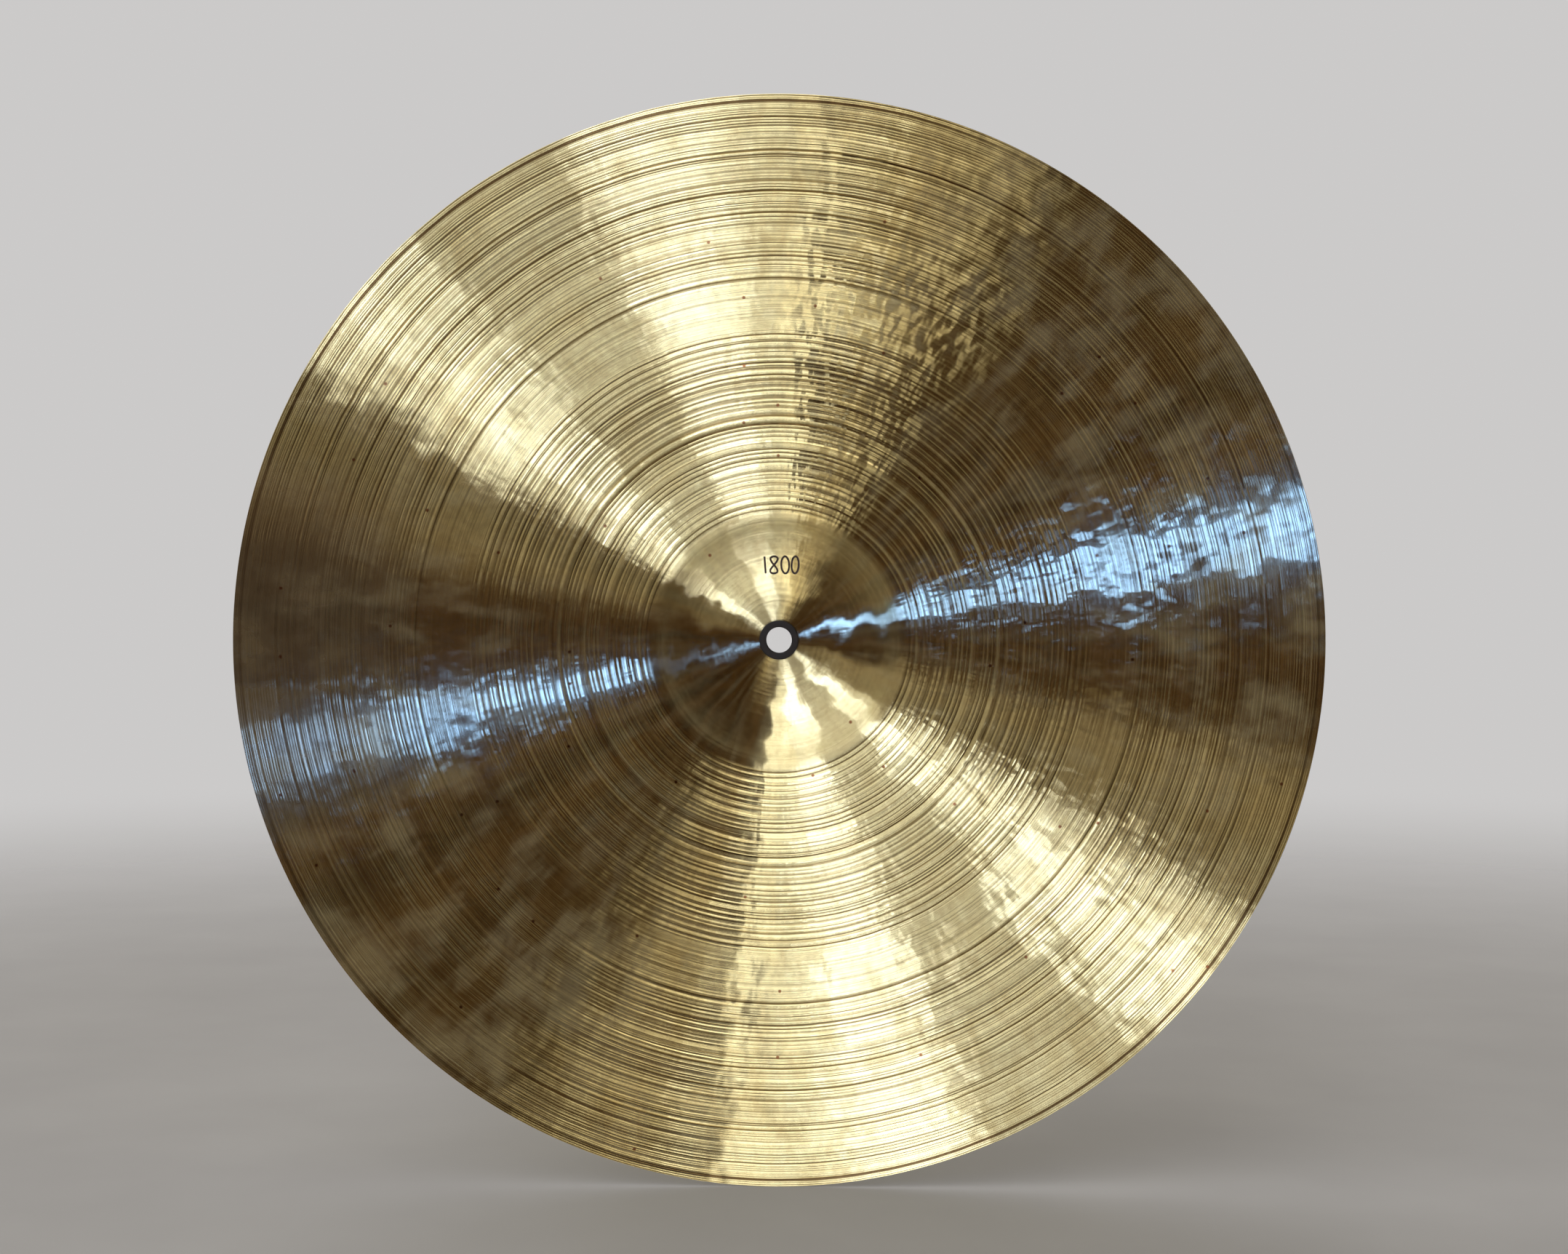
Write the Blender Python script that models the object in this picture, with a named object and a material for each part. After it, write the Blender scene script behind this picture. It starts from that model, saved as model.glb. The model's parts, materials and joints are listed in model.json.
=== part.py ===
"""Crash cymbal: one tapered, lathed bronze sheet with a raised bell, and the rubber grommet in its hole.

Each piece is turned about its own Z axis with the bell upwards. The empty stand_post then tips that axis
onto world +Y, so the cymbal stands on its edge with its open underside towards -Y. The world origin is the
centre of the hole, on the face of the grommet that a stand's lower felt bears on.
"""

import math

import bmesh
import bpy

# Driving dimensions of the bronze sheet, in metres
DIAMETER = 0.508                # rim to rim: a 20 inch cymbal
BOW_RISE = 0.030                # rim plane to the bell's foot, on the upper face
BELL_DIAMETER = 0.127           # bell's foot, on the upper face
BELL_HEIGHT = 0.019             # bell's foot to the crown, on the upper face
BELL_FILLET_RADIUS = 0.009      # hollow curve between bell and bow
BELL_THICKNESS = 0.0014         # from the hole to the bell's foot
EDGE_THICKNESS = 0.00078        # at the rim, thinned evenly from the bell's foot
CROWN_LAND = 0.0025             # flat bronze left round the grommet's lips
BOW_SLOPE_AT_BELL = math.radians(4.0)

# Driving dimensions of the grommet
POST_HOLE_DIAMETER = 0.0124     # clear way for the stand's rod and its sleeve
GROMMET_WALL = 0.0012           # rubber between the sleeve and the bronze
LIP_LAP = 0.0018                # how far the lips reach over the bronze past its hole
LIP_THICKNESS = 0.0013          # each of the two lips
LIP_ROUND = 0.0004              # rounding of the lips' outer edges
BORE_CHAMFER = 0.0004           # lead-in at both ends of the bore
SEAT_GAP = 0.0003               # clearance between rubber and bronze

# Grooves that the lathe tool leaves, deeper than the fine turning marks between them
EDGE_LINE_INSET = 0.0026        # first groove of the underside, in from the rim
UNDER_GROOVE_PITCH = 0.025
UPPER_GROOVE_INSET = 0.015      # first groove of the upper face, so that no two grooves face each other
UPPER_GROOVE_PITCH = 0.050
GROOVE_WIDTH = 0.0016
GROOVE_DEPTH = 0.0001

# Fineness of the turned shapes
CYMBAL_SEGMENTS = 72
GROMMET_SEGMENTS = 32
BELL_STEPS = 7
FILLET_STEPS = 3
BOW_STEPS = 5
RIM_STEPS = 3
ROUND_STEPS = 2

# Sizes that follow from the driving dimensions: radii from the axis, heights over the rim plane
RIM_RADIUS = DIAMETER / 2
FOOT_RADIUS = BELL_DIAMETER / 2
BORE_RADIUS = POST_HOLE_DIAMETER / 2
CORE_RADIUS = BORE_RADIUS + GROMMET_WALL
BRONZE_HOLE_RADIUS = CORE_RADIUS + SEAT_GAP
LIP_RADIUS = BRONZE_HOLE_RADIUS + LIP_LAP
CROWN_FLAT_RADIUS = LIP_RADIUS + CROWN_LAND
CROWN_HEIGHT = BOW_RISE + BELL_HEIGHT
UPPER_LIP_SEAT = CROWN_HEIGHT + SEAT_GAP
LOWER_LIP_SEAT = CROWN_HEIGHT - BELL_THICKNESS - SEAT_GAP
FELT_SEAT_HEIGHT = LOWER_LIP_SEAT - LIP_THICKNESS


class Station:
    """A point on the upper face: radius, height, and the slope at which the face falls outwards."""

    def __init__(self, radius, height, slope):
        self.radius = radius
        self.height = height
        self.slope = slope

    def sunk(self, depth):
        """The (radius, height) that lies depth below the upper face, square to it."""
        return (
            self.radius - depth * math.sin(self.slope),
            self.height - depth * math.cos(self.slope),
        )


def arc_points(centre, radius, start, end, steps):
    """(radius, height) points on an arc, with angles measured from straight up towards the outside."""
    points = []
    for step in range(steps + 1):
        turn = start + (end - start) * step / steps
        points.append((centre[0] + radius * math.sin(turn), centre[1] + radius * math.cos(turn)))
    return points


def bell_stations():
    """Stations from the hole's edge over the crown's flat and down the bell, short of its foot.

    The dome leaves the flat level. The fillet takes over where both have the same slope, and reaches the
    bell's foot at the slope of the bow. These two conditions give the dome's radius.
    """
    run = FOOT_RADIUS - CROWN_FLAT_RADIUS + BELL_FILLET_RADIUS * math.sin(BOW_SLOPE_AT_BELL)
    fall = BELL_HEIGHT + BELL_FILLET_RADIUS * (1 - math.cos(BOW_SLOPE_AT_BELL))
    both_radii = (run**2 + fall**2) / (2 * fall)
    dome_radius = both_radii - BELL_FILLET_RADIUS
    steepest = math.asin(run / both_radii)

    stations = [Station(BRONZE_HOLE_RADIUS, CROWN_HEIGHT, 0.0)]
    for step in range(BELL_STEPS + 1):
        slope = steepest * step / BELL_STEPS
        radius = CROWN_FLAT_RADIUS + dome_radius * math.sin(slope)
        height = CROWN_HEIGHT - dome_radius * (1 - math.cos(slope))
        stations.append(Station(radius, height, slope))
    dome_end = stations[-1]
    for step in range(1, FILLET_STEPS):
        slope = steepest + (BOW_SLOPE_AT_BELL - steepest) * step / FILLET_STEPS
        radius = dome_end.radius + BELL_FILLET_RADIUS * (math.sin(steepest) - math.sin(slope))
        height = dome_end.height - BELL_FILLET_RADIUS * (math.cos(slope) - math.cos(steepest))
        stations.append(Station(radius, height, slope))
    return stations


def bow_station(radius):
    """The bow's station at a radius: one arc from the bell's foot down to the rim."""
    run = RIM_RADIUS - FOOT_RADIUS
    rim_slope = 2 * math.atan2(BOW_RISE, run) - BOW_SLOPE_AT_BELL
    bow_radius = run / (math.sin(rim_slope) - math.sin(BOW_SLOPE_AT_BELL))
    slope = math.asin(math.sin(BOW_SLOPE_AT_BELL) + (radius - FOOT_RADIUS) / bow_radius)
    height = BOW_RISE - bow_radius * (math.cos(BOW_SLOPE_AT_BELL) - math.cos(slope))
    return Station(radius, height, slope)


def thickness(radius):
    """Sheet thickness: even over the bell, then tapering to the rim."""
    share = (radius - FOOT_RADIUS) / (RIM_RADIUS - FOOT_RADIUS)
    return BELL_THICKNESS + (EDGE_THICKNESS - BELL_THICKNESS) * share


def edge_station():
    """Where the upper face ends and the rounded rim begins, so that the rim reaches the full diameter."""
    rim_slope = bow_station(RIM_RADIUS).slope
    return bow_station(RIM_RADIUS - EDGE_THICKNESS / 2 * (1 - math.sin(rim_slope)))


def groove_radii(first_inset, pitch):
    """Radii of one face's grooves, from near the rim inwards, as many as fit outside the bell's foot."""
    radii = []
    radius = RIM_RADIUS - first_inset
    while radius > FOOT_RADIUS + GROOVE_WIDTH:
        radii.append(radius)
        radius -= pitch
    return radii


def bow_face(grooves, face_depth, groove_depth):
    """(radius, height) points along one face of the bow, with a shallow V at each groove's radius.

    The two depth functions give how far the face and a groove's bottom lie below the upper face.
    """
    outer = edge_station().radius
    plain = [FOOT_RADIUS + (outer - FOOT_RADIUS) * step / BOW_STEPS for step in range(BOW_STEPS + 1)]
    ends = (plain[0], plain[-1])
    points = []
    for radius in plain:
        clear = all(abs(radius - groove) > GROOVE_WIDTH for groove in grooves)
        if clear or radius in ends:
            points.append((radius, face_depth(radius)))
    for groove in grooves:
        for side in (-GROOVE_WIDTH / 2, GROOVE_WIDTH / 2):
            points.append((groove + side, face_depth(groove + side)))
        points.append((groove, groove_depth(groove)))
    return [bow_station(radius).sunk(depth) for radius, depth in sorted(points)]


def cymbal_outline():
    """The sheet's half section: out along the upper face, round the rim, and back along the underside."""
    bell = bell_stations()
    upper = [station.sunk(0.0) for station in bell]
    upper += bow_face(
        groove_radii(UPPER_GROOVE_INSET, UPPER_GROOVE_PITCH),
        lambda radius: 0.0,
        lambda radius: GROOVE_DEPTH,
    )
    under = [station.sunk(BELL_THICKNESS) for station in bell]
    under += bow_face(
        groove_radii(EDGE_LINE_INSET, UNDER_GROOVE_PITCH),
        thickness,
        lambda radius: thickness(radius) - GROOVE_DEPTH,
    )
    edge = edge_station()
    half = EDGE_THICKNESS / 2
    rim = arc_points(edge.sunk(half), half, edge.slope, edge.slope + math.pi, RIM_STEPS + 1)
    return upper + rim[1:-1] + under[::-1]


def lip_side(low, high):
    """A grommet lip's outer side between two heights, from the top down, with both corners rounded."""
    rounding = min(LIP_ROUND, 0.4 * LIP_THICKNESS)
    middle = LIP_RADIUS - rounding
    quarter = math.pi / 2
    upper_corner = arc_points((middle, high - rounding), rounding, 0.0, quarter, ROUND_STEPS)
    lower_corner = arc_points((middle, low + rounding), rounding, quarter, 2 * quarter, ROUND_STEPS)
    return upper_corner + lower_corner


def grommet_outline():
    """The grommet's half section: two lips, and between them the core that sits in the bronze's hole."""
    top = UPPER_LIP_SEAT + LIP_THICKNESS
    bottom = LOWER_LIP_SEAT - LIP_THICKNESS
    chamfer = min(BORE_CHAMFER, 0.4 * LIP_THICKNESS, 0.4 * GROMMET_WALL)
    outline = [(BORE_RADIUS, top - chamfer), (BORE_RADIUS + chamfer, top)]
    outline += lip_side(UPPER_LIP_SEAT, top)
    outline += [(CORE_RADIUS, UPPER_LIP_SEAT), (CORE_RADIUS, LOWER_LIP_SEAT)]
    outline += lip_side(bottom, LOWER_LIP_SEAT)
    outline += [(BORE_RADIUS + chamfer, bottom), (BORE_RADIUS, bottom + chamfer)]
    return outline


def turned(name, outline, segments, material):
    """A closed outline of (radius, height) turned about Z, with Z = 0 at the lower felt's seat."""
    shape = bmesh.new()
    ring = [shape.verts.new((radius, 0.0, height - FELT_SEAT_HEIGHT)) for radius, height in outline]
    edges = [shape.edges.new((ring[index - 1], ring[index])) for index in range(len(ring))]
    bmesh.ops.spin(
        shape,
        geom=ring + edges,
        cent=(0.0, 0.0, 0.0),
        axis=(0.0, 0.0, 1.0),
        angle=2 * math.pi,
        steps=segments,
        use_merge=True,
    )
    bmesh.ops.recalc_face_normals(shape, faces=shape.faces)
    mesh = bpy.data.meshes.new(name)
    shape.to_mesh(mesh)
    shape.free()
    mesh.shade_smooth()
    mesh.set_sharp_from_angle(angle=math.radians(30))
    mesh.materials.append(material)
    piece = bpy.data.objects.new(name, mesh)
    bpy.context.scene.collection.objects.link(piece)
    return piece


def finish(name, colour, roughness, metallic):
    """A plain Principled material."""
    material = bpy.data.materials.new(name)
    material.use_nodes = True
    shader = material.node_tree.nodes["Principled BSDF"]
    shader.inputs["Base Color"].default_value = (*colour, 1.0)
    shader.inputs["Roughness"].default_value = roughness
    shader.inputs["Metallic"].default_value = metallic
    return material


def main():
    for old in list(bpy.data.objects):
        bpy.data.objects.remove(old)

    stand_post = bpy.data.objects.new("stand_post", None)
    stand_post.rotation_euler = (-math.pi / 2, 0.0, 0.0)
    bpy.context.scene.collection.objects.link(stand_post)

    bronze = finish("lathed_bronze", (0.60, 0.43, 0.19), 0.3, 1.0)
    rubber = finish("dark_rubber", (0.02, 0.014, 0.012), 0.6, 0.0)
    pieces = [
        turned("cymbal", cymbal_outline(), CYMBAL_SEGMENTS, bronze),
        turned("hole_grommet", grommet_outline(), GROMMET_SEGMENTS, rubber),
    ]
    for piece in pieces:
        piece.parent = stand_post


main()
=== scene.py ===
# %% [markdown]
# # A crash cymbal on its edge, with its underside towards us
# A cymbal is one sheet of bronze: a raised bell with a hole in its middle, a bow that falls away to the rim,
# and a skin of hammer marks and lathe lines that decides how it sounds and how it catches the light.
# The sizes are those of the CAD model, which are estimates from one picture. This lesson dresses that model: it
# turns a finer sheet, hammers it, makes the grommet and an inked weight mark, and gives each its own material.

# %% Load the CAD model
import json
import math

import bpy
import numpy as np
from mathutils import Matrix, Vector

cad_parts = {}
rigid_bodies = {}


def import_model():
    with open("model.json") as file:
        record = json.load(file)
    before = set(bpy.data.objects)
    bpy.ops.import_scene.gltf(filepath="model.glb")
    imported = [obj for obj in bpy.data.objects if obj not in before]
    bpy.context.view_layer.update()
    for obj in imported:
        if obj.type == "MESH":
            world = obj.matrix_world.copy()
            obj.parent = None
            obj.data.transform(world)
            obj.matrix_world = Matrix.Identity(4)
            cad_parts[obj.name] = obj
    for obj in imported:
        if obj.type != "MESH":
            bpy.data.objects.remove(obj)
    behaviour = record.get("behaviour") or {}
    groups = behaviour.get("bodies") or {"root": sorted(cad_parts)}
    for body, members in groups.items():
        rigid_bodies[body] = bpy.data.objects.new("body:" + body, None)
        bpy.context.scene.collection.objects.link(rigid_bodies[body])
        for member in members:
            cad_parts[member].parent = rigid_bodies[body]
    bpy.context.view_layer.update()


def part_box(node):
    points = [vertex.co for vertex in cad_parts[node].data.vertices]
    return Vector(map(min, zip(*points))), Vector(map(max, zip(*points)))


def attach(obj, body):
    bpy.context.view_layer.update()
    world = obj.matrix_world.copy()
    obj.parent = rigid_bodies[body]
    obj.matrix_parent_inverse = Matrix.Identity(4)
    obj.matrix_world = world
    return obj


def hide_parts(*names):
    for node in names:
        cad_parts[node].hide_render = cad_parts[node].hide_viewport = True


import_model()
MM = 0.001
sheet_low, sheet_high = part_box("cymbal")
grommet_low, grommet_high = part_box("hole_grommet")
RIM_RADIUS = sheet_high[0]
CROWN_TOP = sheet_high[1]
print("rim radius", round(RIM_RADIUS / MM, 2), "mm, crown at", round(CROWN_TOP / MM, 2), "mm along the axis")

# %% [markdown]
# ## The camera
# The picture was taken almost along the cymbal's axis, from a little to the right of it and a little above.
# That is why the hole, which lies deeper than the rim, sits slightly up and right of the rim's centre.
# The lens is chosen so that the rim fills the same share of the frame.

# %% Place the camera
IMAGE_WIDTH = 2156
RIM_RADIUS_PX = 752
RIM_CENTRE_PX = (-11, -22)
CAMERA_DISTANCE = 1.15
CAMERA_OFFSET = (0.035, 0.035)
rim_plane = sheet_low[1]
px_per_metre = RIM_RADIUS_PX / RIM_RADIUS

camera_data = bpy.data.cameras.new("camera")
camera = bpy.data.objects.new("camera", camera_data)
bpy.context.scene.collection.objects.link(camera)
bpy.context.scene.camera = camera
camera.location = (CAMERA_OFFSET[0], rim_plane - CAMERA_DISTANCE, CAMERA_OFFSET[1])
target = Vector((-RIM_CENTRE_PX[0] / px_per_metre, rim_plane, -RIM_CENTRE_PX[1] / px_per_metre))
camera.rotation_euler = (target - camera.location).to_track_quat("-Z", "Y").to_euler()
camera_data.sensor_width = 36.0
camera_data.lens = camera_data.sensor_width * px_per_metre * (target - camera.location).length / IMAGE_WIDTH
print("lens", round(camera_data.lens, 1), "mm")

# %% [markdown]
# ## A few short words for wiring nodes
# Node trees read badly when every link takes three lines. This small helper adds a node, sets its options, and
# takes either a plain value or another node's output for each input.


# %% Node helper
class Graph:
    """Adds shader nodes to a tree and links them as it goes."""

    def __init__(self, tree):
        self.tree = tree
        tree.nodes.clear()

    def node(self, kind, inputs=None, **settings):
        made = self.tree.nodes.new("ShaderNode" + kind)
        for name, value in settings.items():
            setattr(made, name, value)
        for socket, value in (inputs or {}).items():
            if isinstance(value, bpy.types.NodeSocket):
                self.tree.links.new(value, made.inputs[socket])
            else:
                made.inputs[socket].default_value = value
        return made

    def math(self, operation, first, second=0.0):
        return self.node("Math", {0: first, 1: second}, operation=operation).outputs[0]

    def product(self, first, *factors):
        for factor in factors:
            first = self.math("MULTIPLY", first, factor)
        return first

    def vector(self, operation, first, second=(0.0, 0.0, 0.0)):
        made = self.node("VectorMath", {0: first, 1: second}, operation=operation)
        return made.outputs["Vector"]

    def scaled(self, vector, factor):
        made = self.node("VectorMath", {0: vector, "Scale": factor}, operation="SCALE")
        return made.outputs["Vector"]

    def remap(self, value, from_low, from_high, to_low=0.0, to_high=1.0, smooth=True):
        kind = "SMOOTHSTEP" if smooth else "LINEAR"
        inputs = {"Value": value, "From Min": from_low, "From Max": from_high}
        inputs |= {"To Min": to_low, "To Max": to_high}
        return self.node("MapRange", inputs, interpolation_type=kind).outputs[0]

    def noise(self, vector, scale, detail=2.0, roughness=0.5):
        inputs = {"Vector": vector, "Scale": scale, "Detail": detail, "Roughness": roughness}
        return self.node("TexNoise", inputs).outputs[0]

    def noise_along(self, value, scale, detail=2.0, roughness=0.5):
        inputs = {"W": value, "Scale": scale, "Detail": detail, "Roughness": roughness}
        return self.node("TexNoise", inputs, noise_dimensions="1D").outputs[0]

    def mix(self, factor, first, second):
        """Mixes two colours: the node's colour sockets are inputs 6 and 7 and output 2."""
        return self.node("Mix", {0: factor, 6: first, 7: second}, data_type="RGBA").outputs[2]


# %% [markdown]
# ## The studio
# Lathe lines smear every lamp into a bright wedge that points at the hole, on the far side of the axis from the
# lamp. So the light is planned by its angle round the axis, counted about the direction in which the cymbal
# mirrors the camera. A wide ceiling with two lamps makes the lower wedge, light thrown back from below makes the
# upper one, and two narrow cool windows make the streaks at left and right. Lights that stand far from the axis
# reach only the steep bell. All of it is painted on the sky, with a plain glow for looking at the cymbal's edge,
# and the picture's own background stays a plain pale grey.

# %% Plan the lights
BACKDROP = (0.60, 0.59, 0.585, 1.0)
ROOM = (0.051, 0.025, 0.0085)
SIDE_GLOW = (0.62, 0.56, 0.47)
WARM, COOL, GLOW, BLUE = (1.0, 0.97, 0.90), (0.96, 1.0, 1.15), (1.0, 0.86, 0.60), (0.38, 0.72, 1.75)
NEAR_AXIS_SOFTNESS = 6.0
DIMMING_SOFTNESS = 10.0
MIRRORED_VIEW = (CAMERA_OFFSET[0] / CAMERA_DISTANCE, 0.0, CAMERA_OFFSET[1] / CAMERA_DISTANCE)
# Each row, in degrees: first and last angle round the axis, softness of those edges, least angle off the axis, the
# angle off the axis where the light dims. Then the share left beyond that, the colour and the strength.
LIGHTS = {
    "ceiling": (84.0, 149.0, 1.0, 13, 90, 1.0, WARM, 0.76),
    "ceiling right": (84.0, 97.5, 0.8, 13, 90, 1.0, WARM, 0.90),
    "high ceiling": (80.0, 147.0, 5.0, 50, 90, 1.0, WARM, 0.45),
    "lamp above": (97.5, 112.6, 0.7, 13, 48, 0.12, COOL, 3.3),
    "lamp left": (132.6, 143.5, 0.7, 13, 48, 0.15, COOL, 3.2),
    "glow left": (147.0, 167.0, 5.0, 13, 90, 1.0, GLOW, 0.31),
    "window": (189.4, 195.9, 0.6, 14, 32, 0.25, BLUE, 6.4),
    "low bounce": (257.0, 329.8, 1.2, 20, 40, 0.12, WARM, 1.95),
    "low far bounce": (261.0, 323.0, 3.0, 48, 90, 1.0, WARM, 0.31),
    "low lamp": (274.5, 291.0, 0.8, 20, 38, 0.0, COOL, 3.2),
    "low lamp left": (319.0, 329.8, 0.6, 20, 38, 0.0, COOL, 3.5),
    "low glow left": (327.0, 346.0, 4.0, 20, 42, 0.2, GLOW, 0.32),
    "low end": (245.0, 266.0, 12.0, 12, 36, 0.06, GLOW, 2.1),
    "low left": (198.0, 258.0, 4.0, 56, 90, 1.0, GLOW, 0.30),
    "low window": (10.2, 15.4, 0.6, 14, 21, 0.03, BLUE, 3.1),
}
print(len(LIGHTS), "lights planned")

# %% [markdown]
# ## Painting the sky
# Each light is a soft band in the angle round the axis, cut off near the axis and, for some, dimmed further out. The
# bands are added to an uneven dim room. Only the camera sees the plain backdrop in their place.


# %% Paint the light on the sky
def sine(degrees):
    return math.sin(math.radians(degrees))


world = bpy.data.worlds.new("studio")
bpy.context.scene.world = world
world.use_nodes = True
sky = Graph(world.node_tree)
direction = sky.node("TexCoord").outputs["Generated"]
heading = sky.node("SeparateXYZ", {0: direction})
fan = sky.vector("MULTIPLY", sky.vector("ADD", direction, MIRRORED_VIEW), (1.0, 0.0, 1.0))
axes = sky.node("SeparateXYZ", {0: fan})
angle = sky.math("ARCTAN2", axes.outputs["Z"], axes.outputs["X"])
turn = sky.math("FLOORED_MODULO", angle, 2 * math.pi)
off_axis = sky.node("VectorMath", {0: fan}, operation="LENGTH").outputs["Value"]
viewer_side = sky.remap(heading.outputs["Y"], 0.05, -0.15)
flat = sky.vector("NORMALIZE", fan)
unevenness = sky.remap(sky.noise(flat, 9.0, 3.0), 0.3, 0.7, 0.45, 1.65, smooth=False)
light = sky.scaled(ROOM, unevenness)
for first, last, soft, least, dims_at, share_left, colour, strength in LIGHTS.values():
    away = sky.math("ABSOLUTE", sky.math("SUBTRACT", turn, math.radians((first + last) / 2)))
    half = (last - first) / 2
    reach = sky.remap(away, math.radians(half + soft), math.radians(half - soft), 0.0, strength)
    inner, outer = sine(least - NEAR_AXIS_SOFTNESS), sine(least + NEAR_AXIS_SOFTNESS)
    reach = sky.product(reach, sky.remap(off_axis, inner, outer))
    if share_left < 1.0:
        bright_to, dim_from = sine(dims_at - DIMMING_SOFTNESS), sine(dims_at + DIMMING_SOFTNESS)
        reach = sky.product(reach, sky.remap(off_axis, bright_to, dim_from, 1.0, share_left))
    if colour == BLUE:
        reach = sky.product(reach, viewer_side)
    light = sky.vector("ADD", light, sky.scaled(colour, reach))
beside = sky.remap(sky.math("ABSOLUTE", heading.outputs["Y"]), 0.30, 0.10)
glow = sky.scaled(SIDE_GLOW, sky.remap(heading.outputs["Z"], -0.5, 0.7, 0.3, 1.3))
light = sky.mix(beside, light, glow)

seen = sky.node("LightPath").outputs["Is Camera Ray"]
painted = sky.node("Background", {"Color": light, "Strength": 1.0})
plain = sky.node("Background", {"Color": BACKDROP, "Strength": 1.0})
both = sky.node("MixShader", {0: seen, 1: painted.outputs[0], 2: plain.outputs[0]})
sky.node("OutputWorld", {"Surface": both.outputs[0]})
bpy.context.scene.view_settings.view_transform = "Standard"
print("sky painted with", len(LIGHTS), "lights")

# %% [markdown]
# ## The floor
# The floor is a plain pale disc under the lowest point of the rim. It fades out with distance, so that no
# horizon line cuts behind the cymbal. It takes shadows but isn't mirrored in the bronze, which would fill the
# dark wedges with grey.

# %% Lay the floor
FLOOR_RADIUS = 6.0
FLOOR_TONE = (0.36, 0.36, 0.36)
FADE_FROM, FADE_TO = 0.5, 2.2

bpy.ops.object.select_all(action="DESELECT")
floor_centre = (0, 0, sheet_low[2])
bpy.ops.mesh.primitive_circle_add(vertices=96, radius=FLOOR_RADIUS, fill_type="NGON", location=floor_centre)
floor = bpy.context.active_object
floor.name = "floor"
floor.visible_glossy = False
floor_finish = bpy.data.materials.new("pale_floor")
floor_finish.use_nodes = True
ground = Graph(floor_finish.node_tree)
spot = ground.node("TexCoord").outputs["Object"]
far = ground.node("VectorMath", {0: spot}, operation="LENGTH").outputs["Value"]
grain = ground.remap(ground.noise(spot, 9.0, 3.0), 0.3, 0.7, 0.97, 1.03, smooth=False)
tone = ground.scaled(FLOOR_TONE, grain)
paint = ground.node("BsdfDiffuse", {"Color": tone})
clear = ground.node("BsdfTransparent")
fade = ground.remap(far, FADE_FROM, FADE_TO)
surface = ground.node("MixShader", {0: fade, 1: paint.outputs[0], 2: clear.outputs[0]})
ground.node("OutputMaterial", {"Surface": surface.outputs[0]})
floor.data.materials.append(floor_finish)
print("floor at", round(sheet_low[2] / MM, 1), "mm")

# %% [markdown]
# ## The soft light overhead
# One broad lamp above the cymbal gives the floor its soft shadow. It too is kept out of the bronze's reflections,
# which belong to the painted sky.

# %% Hang the lamp
OVERHEAD_SIZE = 2.0
OVERHEAD_POWER = 5.0
OVERHEAD_PLACE = (-0.5, -0.9, 2.2)

overhead_data = bpy.data.lights.new("overhead", "AREA")
overhead_data.shape = "DISK"
overhead_data.size = OVERHEAD_SIZE
overhead_data.energy = OVERHEAD_POWER
overhead = bpy.data.objects.new("overhead", overhead_data)
bpy.context.scene.collection.objects.link(overhead)
overhead.location = OVERHEAD_PLACE
overhead.rotation_euler = (-Vector(OVERHEAD_PLACE)).to_track_quat("-Z", "Y").to_euler()
overhead.visible_glossy = False
overhead.visible_camera = False
print("lamp at", OVERHEAD_PLACE)

# %% [markdown]
# ## The sheet's half section
# A cymbal is a turned shape, so it is drawn as half a section and swept round its axis. The section has four
# stretches: the flat crown round the hole, the dome of the bell, a hollow fillet at the bell's foot, and the
# long shallow arc of the bow. The underside follows the upper face at the sheet's thickness, which thins
# steadily towards the rim.

# %% Work out the section
FOOT_RADIUS = 63.5 * MM
BELL_HEIGHT = 19.0 * MM
BOW_RISE = 30.0 * MM
FILLET = 9.0 * MM
FOOT_SLOPE = math.radians(4.0)
BELL_THICKNESS = 1.4 * MM
EDGE_THICKNESS = 0.78 * MM
HOLE_RADIUS = 7.7 * MM
CROWN_FLAT_RADIUS = 12.0 * MM

dome_run = FOOT_RADIUS - CROWN_FLAT_RADIUS + FILLET * math.sin(FOOT_SLOPE)
dome_fall = BELL_HEIGHT + FILLET * (1 - math.cos(FOOT_SLOPE))
dome_and_fillet = (dome_run**2 + dome_fall**2) / (2 * dome_fall)
DOME = dome_and_fillet - FILLET
STEEPEST = math.asin(dome_run / dome_and_fillet)
DOME_END = CROWN_FLAT_RADIUS + DOME * math.sin(STEEPEST)
DOME_END_HEIGHT = CROWN_TOP - DOME * (1 - math.cos(STEEPEST))
RIM_SLOPE = 2 * math.atan2(BOW_RISE, RIM_RADIUS - FOOT_RADIUS) - FOOT_SLOPE
BOW = (RIM_RADIUS - FOOT_RADIUS) / (math.sin(RIM_SLOPE) - math.sin(FOOT_SLOPE))


def upper_face(radius):
    """Height along the axis and outward slope of the upper face at a radius."""
    if radius <= CROWN_FLAT_RADIUS:
        return CROWN_TOP, 0.0
    if radius <= DOME_END:
        slope = math.asin((radius - CROWN_FLAT_RADIUS) / DOME)
        return CROWN_TOP - DOME * (1 - math.cos(slope)), slope
    if radius <= FOOT_RADIUS:
        slope = math.asin(math.sin(STEEPEST) - (radius - DOME_END) / FILLET)
        return DOME_END_HEIGHT - FILLET * (math.cos(slope) - math.cos(STEEPEST)), slope
    slope = math.asin(math.sin(FOOT_SLOPE) + (radius - FOOT_RADIUS) / BOW)
    return CROWN_TOP - BELL_HEIGHT - BOW * (math.cos(FOOT_SLOPE) - math.cos(slope)), slope


def thickness(radius):
    """Sheet thickness at a radius: even over the bell, thinning towards the rim."""
    share = max(0.0, (radius - FOOT_RADIUS) / (RIM_RADIUS - FOOT_RADIUS))
    return BELL_THICKNESS + (EDGE_THICKNESS - BELL_THICKNESS) * share


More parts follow.
